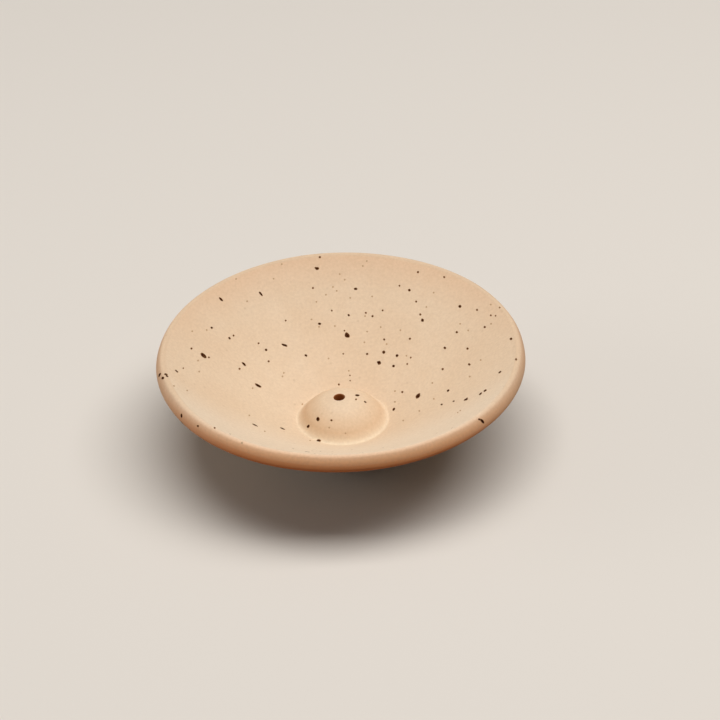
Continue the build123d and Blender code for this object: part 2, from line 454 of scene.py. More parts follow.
class Shape:
    """The meeting points and centres of the holder's profile, from the frame and the chosen sizes."""

    def __init__(self, sizes):
        self.sizes = sizes
        top_way = point(cos(sizes.lip_top_lean), sin(sizes.lip_top_lean))
        edge_way = point(cos(sizes.lip_edge_lean), sin(sizes.lip_edge_lean))
        top_shift = top_way * (sizes.lip_side_radius - sizes.lip_top_radius)
        edge_shift = edge_way * (sizes.lip_side_radius - sizes.lip_edge_radius)
        edge_height = DISH_HIGH.z - sizes.lip_top_radius - top_shift[1] + edge_shift[1]
        self.lip_round = point(DISH_HIGH.x - sizes.lip_edge_radius, edge_height)
        self.lip_side = self.lip_round - edge_shift
        self.lip_top = self.lip_side + top_shift
        self.inner_rim = self.lip_top + leaning(sizes.inner_rim_slope) * sizes.lip_top_radius
        self.lip_shoulder = self.lip_top + top_way * sizes.lip_top_radius
        self.lip_heel = self.lip_round + edge_way * sizes.lip_edge_radius
        self.lip_edge = self.lip_round + point(sizes.lip_edge_radius, 0)
        self.outer_rim = self.lip_round - leaning(sizes.outer_rim_slope) * sizes.lip_edge_radius

        self.floor_edge = point(BOSS_HIGH.x + sizes.floor_margin, SLIP_LOW.z)
        self.inner_centre = arc_centre(self.inner_rim, leaning(sizes.inner_rim_slope), self.floor_edge)
        inner_radius = np.hypot(*(self.inner_centre - self.inner_rim))

        base_edge = point(FOOT_HIGH.x + sizes.base_margin, DISH_LOW.z)
        self.outer_centre = arc_centre(self.outer_rim, leaning(sizes.outer_rim_slope), base_edge)
        outer_radius = np.hypot(*(self.outer_centre - self.outer_rim))
        base_centre_height = DISH_LOW.z + sizes.base_rounding
        reach = outer_radius - sizes.base_rounding
        rise = base_centre_height - self.outer_centre[1]
        self.base_centre = point(self.outer_centre[0] + sqrt(reach**2 - rise**2), base_centre_height)
        self.base_turn = towards(self.outer_centre, self.base_centre, outer_radius)
        self.base_flat = self.base_centre - point(0, sizes.base_rounding)

        mouth = HOLE_RADIUS + sizes.mouth_rounding + HOLE_OFFSET
        boss_rise = BOSS_HIGH.z - BOSS_LOW.z
        dome_height = (mouth**2 + BOSS_HIGH.z**2 - BOSS_HIGH.x**2 - BOSS_LOW.z**2) / (2 * boss_rise)
        self.dome_centre = point(0, dome_height)
        self.dome_edge = point(BOSS_HIGH.x, BOSS_LOW.z)
        self.dome_radius = np.hypot(*(self.dome_edge - self.dome_centre))

        corner = outer_meeting(self.dome_centre, self.dome_radius, self.inner_centre, inner_radius)
        self.cove_top = turned_about(self.dome_centre, corner, sizes.cove_rise / self.dome_radius)
        self.cove_foot = turned_about(self.inner_centre, corner, sizes.cove_reach / inner_radius)
        self.cove_corner = square_meeting(self.cove_top, self.dome_centre, self.cove_foot, self.inner_centre)

    def lip(self):
        """The lip from the wall's inside, over its top, to its outermost edge: three arcs in one sweep."""
        return joined(
            arc(self.lip_top, self.inner_rim, self.lip_shoulder, LIP_STEP),
            arc(self.lip_side, self.lip_shoulder, self.lip_heel, LIP_STEP),
            arc(self.lip_round, self.lip_heel, self.lip_edge, LIP_STEP),
        )

    def outside(self, step):
        """The outer wall from the lip's edge down to the flat of the underside."""
        return joined(
            arc(self.lip_round, self.lip_edge, self.outer_rim, LIP_STEP),
            arc(self.outer_centre, self.outer_rim, self.base_turn, step),
            arc(self.base_centre, self.base_turn, self.base_flat, FINE_STEP),
        )

    def dish(self):
        """The dish from the middle of its floor, up and over the lip, to the middle of its underside."""
        return joined(
            line(point(0, SLIP_LOW.z), self.floor_edge, FLAT_STEP),
            arc(self.inner_centre, self.floor_edge, self.inner_rim, WALL_STEP),
            self.lip(),
            self.outside(WALL_STEP),
            line(self.base_flat, point(0, DISH_LOW.z), FLAT_STEP),
        )

    def slip(self):
        """The boss's bed of slip, with the cove that runs without a break from the dome into the wall."""
        return joined(
            line(point(0, BOSS_LOW.z), self.dome_edge, FLAT_STEP),
            arc(self.dome_centre, self.dome_edge, self.cove_top, FINE_STEP),
            bend(self.cove_top, self.cove_corner, self.cove_foot, FINE_STEP),
            arc(self.inner_centre, self.cove_foot, self.floor_edge, FINE_STEP),
            line(self.floor_edge, point(0, SLIP_LOW.z), FLAT_STEP),
        )

    def seen(self):
        """All that shows: dome, cove, inside of the wall, lip, outside of the wall and underside."""
        top = self.dome_centre + point(0, self.dome_radius)
        return joined(
            arc(self.dome_centre, top, self.cove_top, WALL_STEP),
            bend(self.cove_top, self.cove_corner, self.cove_foot, FINE_STEP),
            arc(self.inner_centre, self.cove_foot, self.inner_rim, WALL_STEP),
            self.lip(),
            self.outside(WALL_STEP),
        )

    def foot(self):
        """The foot ring's section, round its two standing edges, back to its start."""
        outer, inner = FOOT_HIGH.x, 2 * FOOT_MIDDLE - FOOT_HIGH.x
        top, edge = FOOT_HIGH.z, self.sizes.foot_rounding
        runs = [
            line(point(inner, top), point(outer, top), WALL_STEP),
            line(point(outer, top), point(outer, edge), WALL_STEP),
            arc(point(outer - edge, edge), point(outer, edge), point(outer - edge, 0), FINE_STEP),
            line(point(outer - edge, 0), point(inner + edge, 0), WALL_STEP),
            arc(point(inner + edge, edge), point(inner + edge, 0), point(inner, edge), FINE_STEP),
            line(point(inner, edge), point(inner, top), WALL_STEP),
        ]
        return joined(*runs)[:-1]

    def foot_slip(self):
        """The section of the foot ring's bed, with a cove down each side of the ring."""
        outer, inner = FOOT_HIGH.x, 2 * FOOT_MIDDLE - FOOT_HIGH.x
        reach = FOOT_SLIP_HIGH.x - outer
        high, low, seat = DISH_LOW.z, DISH_LOW.z - reach, FOOT_HIGH.z
        runs = [
            line(point(inner, seat), point(outer, seat), WALL_STEP),
            line(point(outer, seat), point(outer, low), WALL_STEP),
            arc(point(outer + reach, low), point(outer, low), point(outer + reach, high), FINE_STEP),
            line(point(outer + reach, high), point(inner - reach, high), WALL_STEP),
            arc(point(inner - reach, low), point(inner - reach, high), point(inner, low), FINE_STEP),
            line(point(inner, low), point(inner, seat), WALL_STEP),
        ]
        return joined(*runs)[:-1]


# Surfaces


def around(turns):
    """Cosines and sines of evenly spaced turns about an upright axis."""
    angles = np.arange(turns) * TURN / turns
    return np.cos(angles), np.sin(angles)


def turned(profile, turns):
    """Grid of a profile turned about the dish's axis: its point i at turn j, in row i and column j."""
    cosines, sines = around(turns)
    radius, height = profile.T[:, :, None]
    return np.stack(np.broadcast_arrays(radius * cosines, radius * sines, height), -1)


def steps(count):
    """Even shares of the way from one ring to another, one for each ring after the first."""
    return np.linspace(0, 1, count)[1:, None, None]


def boss_grid(shape):
    """Rings of the boss, from the bottom of the stick hole up, over the mouth and down the dome to the bed.

    Inside, the rings are circles about the hole. The mouth is the path of a ball that rolls on the bore and
    on the dome. Over the dome the rings pass evenly from the mouth's circle to the circle of the boss's foot,
    and each point is lifted on to the sphere.
    """
    rounding, corner = shape.sizes.mouth_rounding, shape.sizes.hole_rounding
    centre_height = shape.dome_centre[1]
    cosines, sines = around(BOSS_TURNS)
    outwards = np.stack((cosines, sines, np.zeros_like(cosines)), -1)
    middle = np.array((HOLE_OFFSET, 0, 0))
    dome_middle = np.array((0, 0, centre_height))

    corner_start = point(HOLE_RADIUS - corner, HOLE_FLOOR)
    corner_end = point(HOLE_RADIUS, HOLE_FLOOR + corner)
    well = joined(
        line(point(0, HOLE_FLOOR), corner_start, WALL_STEP),
        arc(point(HOLE_RADIUS - corner, HOLE_FLOOR + corner), corner_start, corner_end, FINE_STEP),
    )
    well_rings = turned(well, BOSS_TURNS) + middle

    ball = middle + outwards * (HOLE_RADIUS + rounding)
    ball[:, 2] = centre_height + np.sqrt((shape.dome_radius - rounding) ** 2 - (ball[:, :2] ** 2).sum(-1))
    bore_top = ball - outwards * rounding
    bore_rings = well_rings[-1] + steps(BORE_RINGS) * (bore_top - well_rings[-1])

    to_dome = (ball - dome_middle) / (shape.dome_radius - rounding)
    spread = np.arccos((-outwards * to_dome).sum(-1))[:, None]
    way = steps(MOUTH_RINGS)
    spokes = to_dome * np.sin(way * spread) - outwards * np.sin((1 - way) * spread)
    mouth_rings = ball + spokes / np.sin(spread) * rounding

    foot = outwards * BOSS_HIGH.x
    dome_rings = mouth_rings[-1] + steps(DOME_RINGS) * (foot - mouth_rings[-1])
    dome_rings[..., 2] = centre_height + np.sqrt(shape.dome_radius**2 - (dome_rings[..., :2] ** 2).sum(-1))

    bed = turned(line(shape.dome_edge, point(0, BOSS_LOW.z), FLAT_STEP), BOSS_TURNS)
    return np.concatenate((well_rings, bore_rings, mouth_rings, dome_rings, bed[1:]))


def grid_faces(rows, turns, ring):
    """Four-sided faces of a grid whose columns close up, and whose rows close up too where it is a ring."""
    row = np.arange(rows if ring else rows - 1)[:, None]
    column = np.arange(turns)
    next_row, next_column = (row + 1) % rows, (column + 1) % turns
    corners = (
        row * turns + column, row * turns + next_column,
        next_row * turns + next_column, next_row * turns + column,
    )
    return np.stack(np.broadcast_arrays(*corners), -1).reshape(-1, 4)


def pole_faces(first, turns, pole):
    """Three-sided faces from one ring of a grid, given by its first point, to a single point."""
    column = np.arange(turns)
    return np.stack((np.full(turns, pole), first + (column + 1) % turns, first + column), -1)


def closed_surface(grid, ring):
    """Points and faces of a closed surface, facing outwards.

    A ring's rows close on themselves. Otherwise the first and the last row are single points, at their means.
    """
    turns = grid.shape[1]
    if ring:
        points = grid.reshape(-1, 3)
        faces = [grid_faces(len(grid), turns, True)]
    else:
        inner = grid[1:-1].reshape(-1, 3)
        points = np.concatenate((inner, grid[[0, -1]].mean(1)))
        count = len(inner)
        faces = [
            grid_faces(len(grid) - 2, turns, False),
            pole_faces(0, turns, count),
            pole_faces(count - turns, turns, count + 1)[:, ::-1],
        ]
    if volume(points, faces[0]) < 0:
        faces = [run[:, ::-1] for run in faces]
    return points, sum((run.tolist() for run in faces), [])


def volume(points, faces):
    """Signed volume inside four-sided faces, up to their missing caps, measured from their middle."""
    corners = (points - points.mean(0))[faces]
    first = np.cross(corners[:, 1], corners[:, 2]) + np.cross(corners[:, 2], corners[:, 3])
    return (corners[:, 0] * first).sum() / 6


def hand_warp(points, unevenness):
    """The points moved a little, as uneven hand-worked clay is: a sum of slow waves in all directions.

    Each wave has its own direction, length and phase. The sum fades to nothing at the standing plane.
    """
    draw = np.random.default_rng(WARP_SEED)
    wavelengths = np.geomspace(WARP_LONGEST, WARP_SHORTEST, WARP_WAVES)
    headings = draw.normal(size=(WARP_WAVES, 3))
    headings /= np.linalg.norm(headings, axis=1)[:, None]
    moves = draw.normal(size=(WARP_WAVES, 3))
    moves *= (wavelengths / wavelengths[0] / np.linalg.norm(moves, axis=1))[:, None]
    phases = draw.uniform(0, TURN, WARP_WAVES)
    swings = np.sin(points @ (headings / wavelengths[:, None]).T * TURN + phases)
    lift = np.clip((points[..., 2:] - FOOT_HIGH.z) / (SLIP_LOW.z - FOOT_HIGH.z), 0, 1)
    return points + unevenness * lift * lift * (3 - 2 * lift) * (swings @ moves)


# Iron specks


def camera_axes(stage):
    """The camera's right, up and back, as rows: it looks down on the dish from the front, rolled a little."""
    height, roll = stage.camera_height, stage.camera_roll
    right = np.array((1, 0, 0))
    up = np.array((0, sin(height), cos(height)))
    back = np.array((0, -cos(height), sin(height)))
    return np.array((right * cos(roll) + up * sin(roll), up * cos(roll) - right * sin(roll), back))


def camera_place(stage):
    """Where the camera stands: its distance from the aim, along its own back."""
    return np.array((0, 0, AIM_HEIGHT)) + camera_axes(stage)[2] * stage.camera_distance


def facing(profile):
    """Outward unit normals at a profile's points: its direction there, turned a quarter."""
    along = np.gradient(profile, axis=0)
    along /= np.hypot(*along.T)[:, None]
    return np.stack((-along[:, 1], along[:, 0]), -1)


def landed(pixels, profile, stage):
    """Where the camera's rays through these pixels first meet the turned profile.

    Points are taken along each ray, and the first that is below the profile's upper side is kept.
    """
    right, up, back = camera_axes(stage)
    slopes = (pixels - (AIM_ACROSS, AIM_DOWN)) / PIXELS_PER_METRE / stage.camera_distance
    across, down = slopes.T[:, :, None]
    rays = right * across - up * down - back
    reach = 2 * DISH_HIGH.x
    depths = np.linspace(stage.camera_distance - reach, stage.camera_distance + reach, RAY_PLACES)
    trail = camera_place(stage) + rays[:, None] * depths[:, None]
    upper = profile[: profile[:, 0].argmax() + 1]
    roof = np.interp(np.hypot(trail[..., 0], trail[..., 1]), *upper.T, right=-1)
    first = (trail[..., 2] < roof).argmax(1)
    return trail[np.arange(len(pixels)), first]


def seated(points, profile, normals):
    """The nearest points of the turned profile, and its outward normals there.

    Each point is compared with every straight piece of the profile, in the upright plane through it.
    """
    radius = np.hypot(points[:, 0], points[:, 1])
    spans = np.diff(profile, axis=0)
    offsets = np.stack((radius, points[:, 2]), -1)[:, None] - profile[:-1]
    shares = np.clip((offsets * spans).sum(-1) / (spans**2).sum(-1), 0, 1)
    nearest = ((offsets - shares[..., None] * spans) ** 2).sum(-1).argmin(1)
    along = shares[np.arange(len(points)), nearest][:, None]
    foot = profile[nearest] + along * spans[nearest]
    lean = normals[nearest] * (1 - along) + normals[nearest + 1] * along
    ways = points[:, :2] / radius[:, None]
    return (
        np.concatenate((foot[:, :1] * ways, foot[:, 1:]), -1),
        np.concatenate((lean[:, :1] * ways, lean[:, 1:]), -1),
    )


def flattened(spread, normals, sight):
    """Spreads in the picture laid on the surface along the line of sight, and drawn out only so far."""
    slant = np.maximum((sight * normals).sum(-1, keepdims=True), LAID_SLANT)
    laid = spread - sight * (spread * normals).sum(-1, keepdims=True) / slant
    return laid - normals * (laid * normals).sum(-1, keepdims=True)


def photographed_specks(shape, stage):
    """Middles, long and short half axes, and darkness of the specks that the photograph shows."""
    flecks, dots, faint = np.array(FLECKS), np.array(DOTS), np.array(FAINT_SPECKS)
    faint = np.column_stack((faint, np.full((len(faint), 2), FAINT_WIDTH), np.zeros(len(faint))))
    dots = np.column_stack((dots, dots[:, 2], np.zeros(len(dots))))
    specks = np.concatenate((flecks, dots, faint))
    dark = np.concatenate((
        np.ones(len(flecks)),
        np.clip(dots[:, 2] / DARK_WIDTH, DOT_DARKNESS, 1),
        np.full(len(faint), FAINT_DARKNESS),
    ))
    profile = shape.seen()
    middles, normals = seated(landed(specks[:, :2], profile, stage), profile, facing(profile))
    right, up, back = camera_axes(stage)
    sight = camera_place(stage) - middles
    sight /= np.linalg.norm(sight, axis=1)[:, None]
    half = SPECK_GROWTH * specks[:, 2:4, None] / 2 / PIXELS_PER_METRE
    turn = np.radians(specks[:, 4])[:, None]
    long_axes = half[:, 0] * (right * np.cos(turn) - up * np.sin(turn))
    short_axes = half[:, 1] * (right * np.sin(turn) + up * np.cos(turn))
    return middles, flattened(long_axes, normals, sight), flattened(short_axes, normals, sight), dark


def scattered_specks(shape, stage, count):
    """Middles, half axes and darkness of specks strewn where the camera sees no clay, or only at a low slant.

    They are spread evenly by area over all that shows. Their widths grow with the cube of an even draw.
    """
    draw = np.random.default_rng(STREWN_SEED)
    profile = shape.seen()
    normals = facing(profile)
    middle = (profile[1:] + profile[:-1]) / 2
    areas = np.cumsum(middle[:, 0] * np.hypot(*np.diff(profile, axis=0).T))
    places = np.interp(draw.uniform(0, areas[-1], count), areas, np.arange(1, len(profile)))
    rows = np.arange(len(profile))
    foot = np.stack([np.interp(places, rows, profile[:, side]) for side in (0, 1)], -1)
    lean = np.stack([np.interp(places, rows, normals[:, side]) for side in (0, 1)], -1)
    angles = draw.uniform(0, TURN, count)
    ways = np.stack((np.cos(angles), np.sin(angles)), -1)
    middles = np.concatenate((foot[:, :1] * ways, foot[:, 1:]), -1)
    upright = np.concatenate((lean[:, :1] * ways, lean[:, 1:]), -1)
    level = np.stack((-ways[:, 1], ways[:, 0], np.zeros(count)), -1)
    rising = np.cross(upright, level)
    turn = draw.uniform(0, pi, count)[:, None]
    bold = draw.uniform(size=count) < BOLD_SHARE
    widths = STREWN_WIDTH + STREWN_EXTRA * draw.uniform(size=(count, 1)) ** 3 * bold[:, None]
    lengths = widths * draw.uniform(1, STREWN_STRETCH, (count, 1))
    long_axes = lengths * (level * np.cos(turn) + rising * np.sin(turn))
    short_axes = widths * (rising * np.cos(turn) - level * np.sin(turn))
    dark = np.where(bold, 1.0, TIMID_DARKNESS)
    sight = camera_place(stage) - middles
    unseen = (sight * upright).sum(-1) < LOW_SLANT * np.linalg.norm(sight, axis=1)
    return middles[unseen], long_axes[unseen], short_axes[unseen], dark[unseen]


def speck_surface(shape, specks):
    """Points, faces and darkness of low lenses of iron, each bedded in the clay.

    A lens is a middle, an inner ring and an edge, set on the clay's surface and raised a hair in its middle,
    and closed by a point below. Its edge is an ellipse whose radius is stirred by a few waves round it.
    """
    middles, long_axes, short_axes, dark = specks
    draw = np.random.default_rng(STRAY_SEED)
    count, waves = len(middles), len(STRAY_WAVES)
    cosines, sines = around(SPECK_SIDES)
    angles = np.arange(SPECK_SIDES) * TURN / SPECK_SIDES
    stirs = draw.normal(0, STRAY_SHARE, (count, waves, 1)) * np.cos(
        np.array(STRAY_WAVES)[:, None] * angles + draw.uniform(0, TURN, (count, waves, 1))
    )
    ellipse = long_axes[:, None] * cosines[:, None] + short_axes[:, None] * sines[:, None]
    edge = (1 + stirs.sum(1))[..., None] * ellipse
    middle = np.zeros((count, 1, 3))
    rings = np.concatenate((middle, LENS_RING_SHARE * edge, edge, middle), 1)
    sides = (1, SPECK_SIDES, SPECK_SIDES, 1)
    lifts, stains = np.repeat(LENS_LIFTS, sides), np.repeat(LENS_STAINS, sides)

    profile = shape.seen()
    places, normals = seated((middles[:, None] + rings).reshape(-1, 3), profile, facing(profile))
    points = places + normals * np.tile(lifts, count)[:, None]

    last = 2 * SPECK_SIDES + 1
    bands = grid_faces(2, SPECK_SIDES, False) + 1
    caps = np.concatenate((
        pole_faces(1, SPECK_SIDES, 0),
        pole_faces(1 + SPECK_SIDES, SPECK_SIDES, last)[:, ::-1],
    ))
    starts = np.arange(count)[:, None, None] * (last + 1)
    lens = points[: last + 1]
    heart = lens.mean(0)
    outward = (np.cross(lens[caps[0, 1]] - lens[0], lens[caps[0, 2]] - lens[0]) * (lens[0] - heart)).sum()
    if outward < 0:
        caps, bands = caps[:, ::-1], bands[:, ::-1]
    faces = (bands + starts).reshape(-1, 4).tolist() + (caps + starts).reshape(-1, 3).tolist()
    return points, faces, np.outer(dark, stains).ravel()


# Finishes


class Nodes:
    """Adds and joins the nodes of one material or world."""

    def __init__(self, owner):
        owner.use_nodes = True
        self.tree = owner.node_tree
        self.tree.nodes.clear()

    def add(self, kind, settings=None, **inputs):
        """A node with its settings, and its inputs set to values or joined to outputs.

        An input goes by its name, or by its number after an underscore.
        """
        node = self.tree.nodes.new(kind)
        for name, value in (settings or {}).items():
            setattr(node, name, value)
        for name, value in inputs.items():
            socket = node.inputs[int(name[1:])] if name[0] == "_" else node.inputs[name.replace("_", " ")]
            if isinstance(value, bpy.types.NodeSocket):
                self.tree.links.new(value, socket)
            else:
                socket.default_value = value
        return node

    def noise(self, place, lumps, detail=2.0, roughness=0.5):
        """Cloudy noise of about so many lumps to the metre."""
        inputs = {"Scale": lumps, "Detail": detail, "Roughness": roughness}
        return self.add("ShaderNodeTexNoise", Vector=place, **inputs).outputs[0]

    def ramp(self, value, low, high, start=0.0, end=1.0):
        """A value carried from one range to another, evenly, and held at its ends."""
        inputs = {"_1": low, "_2": high, "_3": start, "_4": end}
        return self.add("ShaderNodeMapRange", Value=value, **inputs).outputs[0]

    def math(self, kind, first, *others):
        """Values put together in turn, such as by ADD, MULTIPLY or MAXIMUM."""
        for other in others:
            first = self.add("ShaderNodeMath", {"operation": kind}, _0=first, _1=other).outputs[0]
        return first

    def axis_distance(self, place, offset):
        """Distance from an upright axis that stands so far along X."""
        kind = "ShaderNodeVectorMath"
        moved = self.add(kind, {"operation": "SUBTRACT"}, _0=place, _1=(offset, 0, 0)).outputs[0]
        flat = self.add(kind, {"operation": "MULTIPLY"}, _0=moved, _1=(1, 1, 0)).outputs[0]
        return self.add(kind, {"operation": "LENGTH"}, _0=flat).outputs["Value"]

    def mixed(self, share, first, second):
        """One colour passing into another by a share."""
        node = self.add("ShaderNodeMix", {"data_type": "RGBA"}, _0=share, _6=first, _7=second)
        return node.outputs[2]


class ClayNodes(Nodes):
    """The nodes of one clay finish, with the colours, places and sand that its layers read."""

    def __init__(self, material, colours):
        super().__init__(material)
        self.colours = colours
        self.place = self.add("ShaderNodeTexCoord").outputs["Object"]
        self.across, self.depth, self.height = self.add("ShaderNodeSeparateXYZ", Vector=self.place).outputs
        self.radius = self.axis_distance(self.place, 0)
        self.sand = self.noise(self.place, SAND_LUMPS, SAND_DETAIL, SAND_ROUGHNESS)

    def band(self, shares):
        """A band round the boss, between shares of its radius: it starts, is full, and ends."""
        start, full, end = (share * BOSS_HIGH.x for share in shares)
        rising = self.ramp(self.radius, start, full)
        falling = self.ramp(self.radius, full, end, 1.0, 0.0)
        return self.math("MULTIPLY", rising, falling)

    def front(self):
        """One along the front of the lip, and nought along its sides and back."""
        return self.ramp(self.depth, LIP_SHADE_FRONT_START, LIP_SHADE_FRONT_FULL)


def rgba(shade):
    """A colour with full cover."""
    return (*shade, 1.0)


def painted_flank_shade(clay, body):
    """Painted shade on the boss's flank: darker and warmer than its top and the cove, most of all on the
    left.
    """
    leftness = clay.ramp(clay.across, -BOSS_HIGH.x, BOSS_HIGH.x, 1.0, FLANK_SHADE_RIGHT_SHARE)
    share = clay.math("MULTIPLY", clay.band(FLANK_SHADE_SHARES), leftness)
    return clay.mixed(share, body, rgba(clay.colours.flank))


def painted_cove_highlight(clay, body):
    """Painted highlight in the cove round the boss, paler than the clay, most of all in front."""
    nearness = clay.ramp(clay.depth, COVE_HIGHLIGHT_START, COVE_HIGHLIGHT_FULL)
    share = clay.math("MULTIPLY", clay.band(COVE_HIGHLIGHT_SHARES), nearness)
    return clay.mixed(share, body, rgba(clay.colours.ring))


def painted_front_light(clay, body):
    """Painted light: the front of the dish, paler than the rest."""
    return clay.mixed(clay.ramp(clay.depth, FRONT_LIGHT_START, FRONT_LIGHT_FULL), body, rgba(clay.colours.pale))


def painted_lip_shade(clay, body):
    """Painted shade, darker and warmer: under the lip's corner, over its top, and further in along the back.

    The way below the corner is the sum of the ways out and down, each by its part square to the wall's slope.
    In front it has its own colour, painted warm reflected light, which deepens downwards into painted shade.
    """
    out = clay.math("MULTIPLY", clay.math("SUBTRACT", clay.radius, DISH_HIGH.x), sin(LIP_SHADE_SLOPE))
    down = clay.math("MULTIPLY", clay.math("SUBTRACT", DISH_HIGH.z, clay.height), cos(LIP_SHADE_SLOPE))
    drop = clay.math("MULTIPLY", clay.across, -LIP_SHADE_DROP_SHARE)
    below = clay.math("ADD", out, down, drop)
    started = clay.ramp(below, LIP_SHADE_START, LIP_SHADE_FULL)
    faded = clay.ramp(clay.height, LIP_SHADE_LOW, LIP_SHADE_HIGH)
    crest = clay.ramp(clay.radius, LIP_SHADE_INNER, LIP_SHADE_OUTER, 0.0, LIP_SHADE_TOP_SHARE)
    inner = clay.ramp(clay.radius, BACK_INNER, LIP_SHADE_OUTER, 0.0, BACK_SHARE)
    back = clay.ramp(clay.depth, BACK_START, BACK_FULL)
    lip_shade_mix = clay.math(
        "MAXIMUM", clay.math("MULTIPLY", started, faded), crest, clay.math("MULTIPLY", inner, back)
    )
    deep = clay.ramp(below, DEEP_START, DEEP_FULL)
    in_front = clay.mixed(deep, rgba(clay.colours.lip_shade_front), rgba(clay.colours.lip_shade_deep))
    return clay.mixed(lip_shade_mix, body, clay.mixed(clay.front(), rgba(clay.colours.lip_shade), in_front))


def painted_rim_shade(clay, body):
    """Painted shade on the lip's top, dulling its highlight along its sides and back."""
    top = clay.ramp(clay.height, DISH_HIGH.z - RIM_SHADE_START, DISH_HIGH.z - RIM_SHADE_FULL)
    share = clay.math("MULTIPLY", top, clay.math("SUBTRACT", 1.0, clay.front()))
    return clay.mixed(share, body, rgba(clay.colours.rim))


def freckled(clay, body):
    """Pale brown freckles in the middles of a few of the cells that the clay is divided into."""
    cells = clay.add("ShaderNodeTexVoronoi", Vector=clay.place, Scale=FRECKLE_CELLS).outputs
    near = clay.ramp(cells["Distance"], FRECKLE_MIDDLE, FRECKLE_EDGE, 1.0, 0.0)
    drawn = clay.add("ShaderNodeSeparateColor", Color=cells["Color"]).outputs[0]
    few = clay.ramp(drawn, *FRECKLE_RANGE, 0.0, FRECKLE_SHARE)
    return clay.mixed(clay.math("MULTIPLY", near, few), body, rgba(clay.colours.freckle))


def sandy(clay, body):
    """Fine sand, darker grain by grain."""
    share = clay.ramp(clay.sand, *LUMP_RANGE, 0.0, SAND_SHARE)
    return clay.mixed(share, body, rgba(clay.colours.freckle))


def darkened(clay, body):
    """The stick hole's wall, darker reddish brown up to its mouth."""
    from_axis = clay.axis_distance(clay.place, HOLE_OFFSET)
    share = clay.ramp(from_axis, HOLE_RADIUS, HOLE_RADIUS + DARK_HOLE_MOUTH, 1.0, 0.0)
    return clay.mixed(share, body, rgba(clay.colours.hole_dark))


def clay_finish(name, main, grain, colours, *layers):
    """Matte fired clay, made once: slow warm patches, painted over by each layer in turn.

    Its relief is the sum of sand, dents and faint wiped rings, which are sines of the distance from the axis.
    """
    if name in bpy.data.materials:
        return bpy.data.materials[name]
    material = bpy.data.materials.new(name)
    clay = ClayNodes(material, colours)
    patches = clay.ramp(clay.noise(clay.place, PATCH_LUMPS, PATCH_DETAIL), *PATCH_RANGE)
    clouds = clay.ramp(clay.noise(clay.place, CLOUD_LUMPS), *CLOUD_RANGE, 0.0, CLOUD_SHARE)
    body = clay.mixed(clay.math("MAXIMUM", patches, clouds), rgba(main), rgba(colours.clay_warm))
    for layer in layers:
        body = layer(clay, body)

    stray = clay.math("MULTIPLY", clay.noise(clay.place, STRAY_LUMPS), WIPE_STRAY)
    turns = clay.math("ADD", clay.math("MULTIPLY", clay.radius, TURN / WIPE_PITCH), stray)
    waves = clay.add("ShaderNodeMath", {"operation": "SINE"}, _0=turns).outputs[0]
    relief = clay.math(
        "ADD",
        clay.math("MULTIPLY", clay.sand, grain),
        clay.math("MULTIPLY", waves, WIPE_HEIGHT),
        clay.math("MULTIPLY", clay.noise(clay.place, DENT_LUMPS), DENT_HEIGHT),
    )
    bump = clay.add("ShaderNodeBump", Strength=RELIEF_STRENGTH, Distance=RELIEF_DEPTH, Height=relief)
    gloss = clay.ramp(clay.noise(clay.place, GLOSS_LUMPS), *LUMP_RANGE, *CLAY_ROUGHNESS)
    shader = clay.add("ShaderNodeBsdfPrincipled", Base_Color=body, Roughness=gloss, Normal=bump.outputs[0])
    clay.add("ShaderNodeOutputMaterial", Surface=shader.outputs[0])
    return material


def thrown_clay(colours):
    """The finish of the dish and its foot ring."""
    layers = (painted_front_light, painted_lip_shade, painted_rim_shade, painted_cove_highlight, freckled, sandy)
    return clay_finish("speckled_stoneware", colours.clay, CLAY_GRAIN, colours, *layers)


def dark_hole_clay(colours):
    """The finish of the boss: the same clay, with painted shade on its flank and a darker stick hole."""
    layers = (painted_flank_shade, painted_cove_highlight, freckled, sandy, darkened)
    return clay_finish("smoked_stoneware", colours.clay, CLAY_GRAIN, colours, *layers)


def wiped_slip(colours):
    """The finish of the slip: the same clay without its coarse grain."""
    layers = (painted_flank_shade, painted_cove_highlight, freckled, sandy)
    return clay_finish("wiped_slip", colours.slip, SLIP_GRAIN, colours, *layers)


def speck_finish(colours):
    """Iron that has melted into the clay: nearly black in its middle, then rusty, and faint at its edge."""
    material = bpy.data.materials.new("iron_speck")
    nodes = Nodes(material)
    place = nodes.add("ShaderNodeTexCoord").outputs["Object"]
    dark = nodes.add("ShaderNodeAttribute", {"attribute_name": "darkness"}).outputs["Fac"]
    uneven = nodes.ramp(nodes.noise(place, RUST_LUMPS), *LUMP_RANGE, *STAIN_RANGE)
    clamped = {"operation": "MULTIPLY", "use_clamp": True}
    stain = nodes.add("ShaderNodeMath", clamped, _0=dark, _1=uneven).outputs[0]
    rusty = nodes.mixed(nodes.ramp(stain, 0, RUST_STAIN), rgba(colours.speck_edge), rgba(colours.speck_rust))
    coloured = nodes.mixed(nodes.ramp(stain, RUST_STAIN, 1), rusty, rgba(colours.speck))
    inputs = {"Roughness": SPECK_ROUGHNESS, "Specular_IOR_Level": SPECK_SHINE}
    shader = nodes.add("ShaderNodeBsdfPrincipled", Base_Color=coloured, **inputs)
    nodes.add("ShaderNodeOutputMaterial", Surface=shader.outputs[0])
    return material


